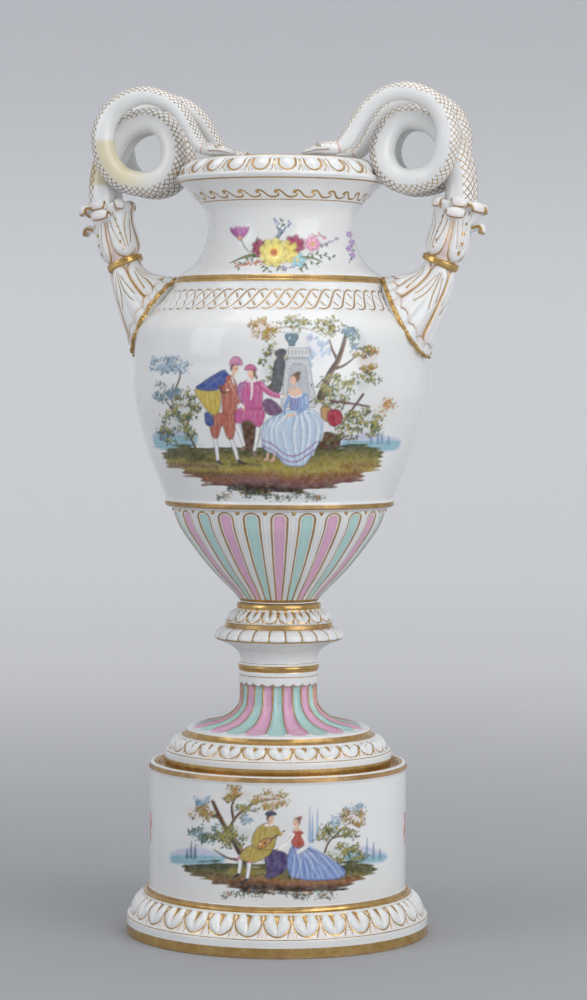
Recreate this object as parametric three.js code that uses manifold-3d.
// Porcelain vase with two snake handles, on a waisted foot and a separate round pedestal.
// Millimetres, +Z up. The origin is under the middle of the pedestal and the handles lie along X.

import * as THREE from "three";
import Module from "manifold-3d";
import { mergeVertices } from "three/addons/utils/BufferGeometryUtils.js";

const wasm = await Module();
wasm.setup();

// Heights of the pieces
const PEDESTAL_FLOOR = 124; // floor of the recess that the foot stands in
const FOOT_BASE = 124.3;
const FOOT_TOP = 247.7;
const BODY_BASE = 248;
const RIM_TOP = 577.5;

// Radii that the mouldings hang on
const BASE_RADIUS = 113.4;
const DRUM_RADIUS = 96.4;
const FOOT_RADIUS = 85.2;
const STEM_RADIUS = 29;
const BELLY_RADIUS = 109;
const NECK_RADIUS = 54.4;
const LIP_RADIUS = 78.3;
const MOUTH_RADIUS = 60;

// Counts of the repeated carving
const PEDESTAL_LEAVES = 32;
const FOOT_LEAVES = 26;
const COLLAR_LEAVES = 18;
const FLUTES = 24;
const GADROONS = 24;
const EGGS = 24;
const KNOTS = 28;

// Depths of the carving
const LEAF_DEPTH = 2.2;
const STEM_FLUTE_DEPTH = 3;
const CONE_FLUTE_DEPTH = 3.4;
const GADROON_DEPTH = 3;
const EGG_DEPTH = 2.6;
const KNOT_DEPTH = 1.1;

// Share of the flute depth from the bottom of the cone to its top, where the flutes end in arches
const CONE_FLUTE_SHARES = [0.35, 0.7, 0.95, 0.75];

// Columns of points round the plain stretches and round the hollows
const PLAIN = 28;
const HOLLOW = 16;

// Handles, for the one at +X: the gold ring that joins its two leaf cups, and its tilt
const HANDLE_RING = { x: 121, z: 501.5, tilt: THREE.MathUtils.degToRad(23) };
const CUP_LEAVES = 4;
const CUP_SIDES = 12;
const CUP_TURN = THREE.MathUtils.degToRad(11); // by which the outer leaves of the upper cup are narrower
const LOWER_LEAVES = 5;
const LOWER_SIDES = 10;
const LOWER_SWELL = 0.07;

// Where the lower leaves end on the body: heights of the tip and the top, the half angle that they spread,
// and how far the shoulder draws in between the two heights
const LEAF_FOOT = { tip: 432, top: 487, spread: THREE.MathUtils.degToRad(20.5), drawIn: 31 };
const LEAF_THICKNESS = 3.2;
const LEAF_ROOT = new THREE.Vector3(92, 0, 461); // middle of the lower leaves on the body

const SNAKE_SIDES = 7;
const SNAKE_STEPS = 22;

const TURN = 2 * Math.PI;

// One motif of carving across: each pair is the place in the motif and the share of the full height.
const LEAF = [[0, 0], [0.25, 1], [0.5, 0.45], [0.75, 1]];
const CONE_FLUTE = [[0, 1], [0.24, 1], [0.62, 0]];
const STEM_FLUTE = [[0, 1], [0.5, 0]];
const GADROON = [[0, 0], [0.3, 0.9], [0.7, 0.9]];
const EGG = [[0, 0], [0.3, 0.95], [0.7, 0.95]];

function rowPoint(angle, radius, height) {
  return { angle, point: new THREE.Vector3(radius * Math.cos(angle), radius * Math.sin(angle), height) };
}

function plainRow(radius, height, count = PLAIN) {
  if (radius === 0) {
    return [rowPoint(0, 0, height)];
  }
  return Array.from({ length: count }, (_, i) => rowPoint((i / count) * TURN, radius, height));
}

// A row of motifs: depth is cut in where the motif's share is below 1.
function carvedRow(radius, height, motifs, shape, depth) {
  const row = [];
  for (let i = 0; i < motifs; i += 1) {
    for (const [place, share] of shape) {
      row.push(rowPoint(((i + place) / motifs) * TURN, radius - depth * (1 - share), height));
    }
  }
  return row;
}

// A row of the interlaced band: raised and sunk points take turns, and rows next to each other swap them.
function knotRow(radius, height, index) {
  const count = KNOTS * 2;
  return Array.from({ length: count }, (_, i) => {
    const sunk = (i + index) % 2 === 0 ? 0 : KNOT_DEPTH;
    return rowPoint((i / count) * TURN, radius - sunk, height);
  });
}

function plainRows(profile, count = PLAIN) {
  return profile.map(([radius, height]) => plainRow(radius, height, count));
}

function smoothProfile(points, steps) {
  const curve = new THREE.SplineCurve(points.map(([r, z]) => new THREE.Vector2(r, z)));
  return curve.getPoints(steps).map((p) => [p.x, p.y]);
}

// Triangles between two rows of any two counts, walking round both by angle.
function stitch(low, high, triangles) {
  const angleAt = (row, i) => row[i % row.length].angle + (i >= row.length ? TURN : 0);
  const lowEnd = low.length === 1 ? 0 : low.length;
  const highEnd = high.length === 1 ? 0 : high.length;
  let i = 0;
  let j = 0;
  while (i < lowEnd || j < highEnd) {
    const a = low[i % low.length].index;
    const b = high[j % high.length].index;
    const lowNext = i < lowEnd && (j >= highEnd || angleAt(low, i + 1) <= angleAt(high, j + 1));
    if (lowNext) {
      i += 1;
      triangles.push(a, low[i % low.length].index, b);
    } else {
      j += 1;
      triangles.push(a, high[j % high.length].index, b);
    }
  }
}

// One closed skin over a list of rows. The first and last row are single points.
function skin(rows) {
  const positions = [];
  for (const row of rows) {
    for (const entry of row) {
      entry.index = positions.length / 3;
      positions.push(entry.point.x, entry.point.y, entry.point.z);
    }
  }
  const triangles = [];
  for (let i = 0; i + 1 < rows.length; i += 1) {
    stitch(rows[i], rows[i + 1], triangles);
  }
  const geometry = new THREE.BufferGeometry();
  geometry.setAttribute("position", new THREE.Float32BufferAttribute(positions, 3));
  geometry.setIndex(triangles);
  return geometry;
}

function mirrored(geometry, x, y) {
  const copy = geometry.clone();
  copy.scale(x, y, 1);
  if (x * y < 0) {
    const index = copy.getIndex();
    for (let i = 0; i < index.count; i += 3) {
      const second = index.getX(i + 1);
      index.setX(i + 1, index.getX(i + 2));
      index.setX(i + 2, second);
    }
  }
  return copy;
}

function toSolid(geometry) {
  const bare = geometry.clone();
  bare.deleteAttribute("normal");
  bare.deleteAttribute("uv");
  const merged = mergeVertices(bare);
  return new wasm.Manifold(new wasm.Mesh({
    numProp: 3,
    vertProperties: new Float32Array(merged.getAttribute("position").array),
    triVerts: new Uint32Array(merged.getIndex().array),
  }));
}

function toGeometry(solid) {
  const mesh = solid.getMesh();
  const geometry = new THREE.BufferGeometry();
  geometry.setAttribute("position", new THREE.Float32BufferAttribute(mesh.vertProperties, 3));
  geometry.setIndex(Array.from(mesh.triVerts));
  return geometry;
}

// Pedestal: an open-bottomed drum with a leaf moulding below and a sunk top.
function pedestalGeometry() {
  const hollow = [[0, 117], [89.5, 117], [90, 36], [105.5, 0]];
  const base = [[BASE_RADIUS, 0], [BASE_RADIUS, 12.8], [112.3, 14.7]];
  const leaves = [[112.2, 15], [107.6, 25]];
  const drum = [
    [100.8, 30.8], [98.4, 31.6], [98.2, 34], [DRUM_RADIUS, 34.8], [DRUM_RADIUS, 122.6],
    [97.2, 124], [95.6, 128.3], [90.6, 128.5], [88.6, PEDESTAL_FLOOR], [0, PEDESTAL_FLOOR],
  ];
  return skin([
    ...plainRows(hollow, HOLLOW),
    ...plainRows(base),
    ...leaves.map(([r, z]) => carvedRow(r, z, PEDESTAL_LEAVES, LEAF, LEAF_DEPTH)),
    ...plainRows(drum),
  ]);
}

// Foot: leaf moulding, fluted flare, collar, gold ring, gadrooned disc and a leaf collar on top.
function footGeometry() {
  const hollow = [[0, 192], [19, 190], [20.5, 168], [34, 153], [60, 146], [77.5, FOOT_BASE]];
  const base = [[84.6, FOOT_BASE], [FOOT_RADIUS, 130.5], [FOOT_RADIUS, 136.6]];
  const leaves = [[84.4, 137.4], [78.6, 146]];
  const shelf = [[69.4, 149.8], [68.4, 153.8]];
  const flare = smoothProfile([[65.6, 154.2], [56.4, 157], [45.5, 159.4], [36.9, 163.6], [31.2, 169.4], [29.4, 175]], 3);
  const stem = [
    [STEM_RADIUS, 187], [STEM_RADIUS, 196.4], [30.6, 200], [28.7, 203.8], [31.6, 211.4], [47.4, 221],
  ];
  const disc = [[48.8, 222.6], [46.6, 226.4]];
  const neck = [[40.2, 229.8], [39.8, 233]];
  const collar = [[40.7, 234.5], [37.6, 239.5]];
  const top = [[30.2, 243.9], [30.2, FOOT_TOP], [0, FOOT_TOP]];
  return skin([
    ...plainRows(hollow, HOLLOW),
    ...plainRows(base),
    ...leaves.map(([r, z]) => carvedRow(r, z, FOOT_LEAVES, LEAF, LEAF_DEPTH)),
    ...plainRows(shelf),
    ...flare.map(([r, z], i) => carvedRow(r, z, FLUTES, STEM_FLUTE, STEM_FLUTE_DEPTH * (i === 0 ? 0.3 : 0.8))),
    carvedRow(STEM_RADIUS, 186, FLUTES, STEM_FLUTE, STEM_FLUTE_DEPTH * 0.6),
    ...plainRows(stem),
    ...disc.map(([r, z]) => carvedRow(r, z, GADROONS, GADROON, GADROON_DEPTH)),
    ...plainRows(neck),
    ...collar.map(([r, z]) => carvedRow(r, z, COLLAR_LEAVES, LEAF, LEAF_DEPTH)),
    ...plainRows(top),
  ]);
}

// Outside of the vase body, filled in: the cone, belly, shoulder, neck and lip.
function bodyOutside() {
  const cone = smoothProfile([[STEM_RADIUS, BODY_BASE + 1], [38, 259.5], [49.7, 271.5], [60.8, 285], [73.6, 303], [78.5, 314]], 3);
  const belt = [[83.8, 319], [85.8, 322], [84.9, 325.6]];
  const belly = smoothProfile(
    [[84.9, 326], [98.8, 361.6], [107.8, 397.7], [BELLY_RADIUS, 424], [107, 450], [95.6, 464.4]],
    5,
  );
  const knots = [[91.8, 467.8], [87, 472.4], [83, 477.4]];
  const shoulder = [[80.6, 481.4], [78.7, 487]];
  const neck = smoothProfile([[75.9, 491.4], [63.5, 501.3], [56.7, 514.8], [NECK_RADIUS, 526], [56, 537.4], [60.3, 544.4]], 5);
  const cove = [[71.2, 555.8], [77.4, 561.6], [LIP_RADIUS, 564]];
  const eggs = [[77, 566.4], [72, 573]];
  const rim = [[66, 575.6], [65, RIM_TOP]];
  return skin([
    ...plainRows([[0, BODY_BASE], [STEM_RADIUS, BODY_BASE]]),
    ...cone.map(([r, z], i) => carvedRow(r, z, FLUTES, CONE_FLUTE, CONE_FLUTE_DEPTH * CONE_FLUTE_SHARES[i])),
    ...plainRows(belt),
    ...plainRows(belly.slice(1)),
    ...knots.map(([r, z], i) => knotRow(r, z, i)),
    ...plainRows(shoulder),
    ...plainRows(neck),
    ...plainRows(cove),
    ...eggs.map(([r, z]) => carvedRow(r, z, EGGS, EGG, EGG_DEPTH)),
    ...plainRows(rim),
    ...plainRows([[0, RIM_TOP]]),
  ]);
}

// The hollow of the vase, from its floor up through the open mouth.
function bodyHollow() {
  const wall = [
    [0, 257], [22, 259], [48, 282], [78, 327], [99, 388], [101.6, 424], [97.6, 448], [76, 475],
    [55, 498], [48.4, 520], [48.6, 536], [57.6, 562], [MOUTH_RADIUS, RIM_TOP + 3], [0, RIM_TOP + 3],
  ];
  return skin(plainRows(wall, HOLLOW));
}

function evenAngles(count) {
  return Array.from({ length: count }, (_, i) => (i / count) * TURN);
}

// A section across the handle of +X: centre and tilt in the XZ plane, radius by angle, 0 pointing outward.
function handleRow(centre, tilt, angles, radiusAt, liftAt = () => 0) {
  const out = new THREE.Vector3(Math.cos(tilt), 0, -Math.sin(tilt));
  const side = new THREE.Vector3(0, 1, 0);
  const along = new THREE.Vector3(Math.sin(tilt), 0, Math.cos(tilt));
  return angles.map((angle) => {
    const point = centre.clone()
      .addScaledVector(out, radiusAt(angle) * Math.cos(angle))
      .addScaledVector(side, radiusAt(angle) * Math.sin(angle))
      .addScaledVector(along, liftAt(angle));
    return { angle, point };
  });
}

// The line of the upper cup, by height above the gold ring.
function cupCentre(height) {
  const lean = HANDLE_RING.tilt - 0.0035 * height;
  return {
    centre: new THREE.Vector3(HANDLE_RING.x + height * Math.sin(lean), 0, HANDLE_RING.z + height * Math.cos(lean)),
    tilt: HANDLE_RING.tilt - 0.007 * height,
  };
}

// From -1 in the furrows of the upper cup, one of them on its outer side, to 1 on the middle of its leaves.
function cupSwell(angle) {
  return -Math.cos(CUP_LEAVES * (angle + CUP_TURN * Math.sin(angle)));
}

// From -1 in the furrows of the lower leaves to 1 on their middle, one of them on the outer side.
function lowerSwell(angle) {
  return Math.cos(LOWER_LEAVES * angle);
}

// Upper cup of leaves: [height above the ring, radius, depth of the furrows between leaves, lift of the tips]
function cupGeometry() {
  const sections = [
    [-2.4, 14.2, 0, 0], [2.4, 14.2, 0, 0], [3, 13.2, 0, 0], [10, 15.8, 1, 0], [28, 15, 1.2, 0],
    [38, 15.8, 1.2, 0], [45.5, 18, 1, 1], [44, 13, 0, 0],
  ];
  const angles = evenAngles(CUP_SIDES).map((angle) => angle - CUP_TURN * Math.sin(angle));
  const rows = sections.map(([height, radius, furrow, lift]) => {
    const { centre, tilt } = cupCentre(height);
    return handleRow(centre, tilt, angles, (a) => radius + furrow * cupSwell(a), (a) => lift * cupSwell(a));
  });
  const bottom = [{ angle: 0, point: cupCentre(-2.4).centre }];
  const top = [{ angle: 0, point: cupCentre(44).centre }];
  return skin([bottom, ...rows, top]);
}

// Curled leaf tips of a cup: [degrees from the outer side, height above the ring, reach, half width]
const CURLS = [
  [0, 29, 23.5, 5], [32, 42, 24, 7], [-32, 42, 24, 7], [77, 37, 21.5, 7], [-77, 37, 21.5, 7],
  [125, 44, 20.5, 4.6], [-125, 44, 20.5, 4.6],
];

const CURL_HEIGHT = 3.8;

// One curled leaf tip on the cup: a short tapering hook that rolls outward and down.
function curlGeometry(degrees, height, reach, half) {
  const angle = THREE.MathUtils.degToRad(degrees);
  const { centre, tilt } = cupCentre(height);
  const out = new THREE.Vector3(Math.cos(tilt) * Math.cos(angle), Math.sin(angle), -Math.sin(tilt) * Math.cos(angle));
  const along = new THREE.Vector3(Math.sin(tilt), 0, Math.cos(tilt));
  const path = new THREE.CatmullRomCurve3([[12, -4], [16, 0.5], [reach - 2.5, 2], [reach, -1.5]].map(([r, up]) => (
    centre.clone().addScaledVector(out, r).addScaledVector(along, up)
  )));
  const steps = 3;
  const sides = 5;
  const narrowing = 0.3;
  return sweep(path, steps, sides, (t) => [half * (1 - narrowing * t), CURL_HEIGHT * (1 - narrowing * t)]);
}

// A closed tube along a path, with its half width and half height given along it.
function sweep(path, steps, sides, sizeAt) {
  const frames = path.computeFrenetFrames(steps, false);
  const rows = [];
  for (let i = 0; i <= steps; i += 1) {
    const t = i / steps;
    const centre = path.getPointAt(t);
    const [width, height] = sizeAt(t);
    rows.push(Array.from({ length: sides }, (_, k) => {
      const angle = (k / sides) * TURN;
      const point = centre.clone()
        .addScaledVector(frames.normals[i], width * Math.cos(angle))
        .addScaledVector(frames.binormals[i], height * Math.sin(angle));
      return { angle, point };
    }));
  }
  const start = [{ angle: 0, point: path.getPointAt(0) }];
  const end = [{ angle: 0, point: path.getPointAt(1) }];
  return skin([start, ...rows, end]);
}

// Where the lower leaves end on the body: 0 is the tip on the belly and half a turn is the top by the neck.
function leafEdge(angle) {
  const { tip, top } = LEAF_FOOT;
  const rise = (1 - Math.cos(angle)) / 2;
  const height = tip + (top - tip) * rise;
  const radius = BELLY_RADIUS - LEAF_FOOT.drawIn * rise ** 1.9;
  const spread = LEAF_FOOT.spread * Math.sin(angle);
  const outward = new THREE.Vector3(Math.cos(spread), Math.sin(spread), 0);
  const normal = outward.clone().multiplyScalar(1 - 0.55 * rise).add(new THREE.Vector3(0, 0, 0.85 * rise)).normalize();
  const point = outward.clone().multiplyScalar(radius).add(new THREE.Vector3(0, 0, height));
  return { point, normal };
}

// Lower cup of leaves: from the gold ring it opens down and inward on to the shoulder.
function lowerLeavesGeometry() {
  const { x, z, tilt } = HANDLE_RING;
  const ring = handleRow(new THREE.Vector3(x, 0, z), tilt, evenAngles(LOWER_SIDES), () => 12.8);
  const edges = ring.map(({ angle }) => leafEdge(angle));
  const stations = [0, 0.16, 0.4, 0.7, 1];
  const rows = stations.map((t) => ring.map(({ angle, point }, i) => {
    const { point: foot, normal } = edges[i];
    const end = foot.clone().addScaledVector(normal, LEAF_THICKNESS);
    const first = point.clone().add(new THREE.Vector3(0, 0, -16));
    const second = end.clone().addScaledVector(point.clone().sub(end), 0.22);
    const at = new THREE.CubicBezierCurve3(point, first, second, end).getPoint(t);
    const swell = 1 + LOWER_SWELL * lowerSwell(angle) * Math.sin(Math.PI * Math.min(1, t * 1.15));
    const middle = new THREE.Vector3(x, 0, z).lerp(LEAF_ROOT, t);
    return { angle, point: middle.clone().addScaledVector(at.sub(middle), swell) };
  }));
  const buried = ring.map(({ angle }, i) => ({
    angle,
    point: edges[i].point.clone().addScaledVector(edges[i].normal, -LEAF_THICKNESS),
  }));
  const top = [{ angle: 0, point: new THREE.Vector3(x, 0, z) }];
  const bottom = [{ angle: 0, point: new THREE.Vector3(90, 0, 458) }];
  return skin([bottom, buried, ...rows.reverse(), top]);
}

// The front snake of the +X handle: out of the cup, one loop, over its own back and down to the rim.
const SNAKE_PATH = [
  [136, -7, 542], [136.5, -8, 556], [135, -8.5, 570], [131.5, -9, 582], [125, -9.5, 595], [114, -10, 604.5],
  [100, -10.5, 608], [88, -11, 603.5], [80.5, -12.5, 591], [80, -14, 577], [87, -15.5, 565], [99, -17, 560],
  [116, -19.5, 563], [126.5, -23.5, 573.5], [130.5, -26.5, 587], [130, -27.5, 600], [124.5, -27.5, 612.5],
  [114, -28, 621.3], [99, -28.5, 626], [83, -29, 622.3], [71.5, -29.5, 613.4], [63.5, -30, 602],
  [58.5, -30.5, 591.5], [53, -32, 584.5],
];

// Radius of the snake's body by the share of its length, from the cup to the neck.
function snakeRadius(t) {
  const thick = 11 - 1.6 * Math.min(1, t / 0.2);
  const taper = THREE.MathUtils.smoothstep(t, 0.55, 1);
  return thick - 3.6 * taper;
}

function snakeGeometry() {
  const path = new THREE.CatmullRomCurve3(SNAKE_PATH.map((p) => new THREE.Vector3(...p)), false, "centripetal");
  return sweep(path, SNAKE_STEPS, SNAKE_SIDES, (t) => [snakeRadius(t), snakeRadius(t)]);
}

// Head of the same snake, lying on the rim: [distance from the neck, half width, half height]
function headGeometry() {
  const sections = [[-3, 4.6, 4], [5, 7.4, 5], [14, 7.8, 5.2], [23, 5.2, 3.6], [32, 2.6, 1.8]];
  const heading = THREE.MathUtils.degToRad(18);
  const forward = new THREE.Vector3(-Math.cos(heading), -Math.sin(heading), 0);
  const side = new THREE.Vector3(-Math.sin(heading), Math.cos(heading), 0);
  const start = new THREE.Vector3(56, -30.5, RIM_TOP);
  const placeAt = ([distance, , half], extra) => start.clone().addScaledVector(forward, distance + extra)
    .add(new THREE.Vector3(0, 0, half + 0.6));
  const rows = sections.map((section) => {
    const [, width, height] = section;
    return Array.from({ length: SNAKE_SIDES }, (_, k) => {
      const angle = (k / SNAKE_SIDES) * TURN;
      const point = placeAt(section, 0)
        .addScaledVector(side, -width * Math.cos(angle))
        .add(new THREE.Vector3(0, 0, height * Math.sin(angle)));
      return { angle, point };
    });
  });
  const back = [{ angle: 0, point: placeAt(sections[0], -1) }];
  const tip = [{ angle: 0, point: placeAt(sections[sections.length - 1], 1) }];
  return skin([back, ...rows, tip]);
}

// One whole handle at +X: leaves, curled tips and the front and back snakes grown together at the root.
function handlePieces() {
  const pieces = [cupGeometry(), lowerLeavesGeometry()];
  for (const curl of CURLS) {
    pieces.push(curlGeometry(...curl));
  }
  for (const y of [1, -1]) {
    pieces.push(mirrored(snakeGeometry(), 1, y), mirrored(headGeometry(), 1, y));
  }
  return pieces;
}

function vaseGeometry() {
  let solid = toSolid(bodyOutside());
  for (const piece of handlePieces()) {
    solid = solid.add(toSolid(piece)).add(toSolid(mirrored(piece, -1, 1)));
  }
  return toGeometry(solid.subtract(toSolid(bodyHollow())));
}

const porcelain = new THREE.MeshStandardMaterial({ color: "#f1efe9", roughness: 0.12, metalness: 0 });

function mesh(name, geometry, material) {
  const piece = new THREE.Mesh(geometry, material);
  piece.name = name;
  return piece;
}

const vase = new THREE.Group();
vase.add(mesh("pedestal", pedestalGeometry(), porcelain.clone()));
vase.add(mesh("vase_foot", footGeometry(), porcelain.clone()));
vase.add(mesh("vase_body", vaseGeometry(), porcelain.clone()));

export default vase;
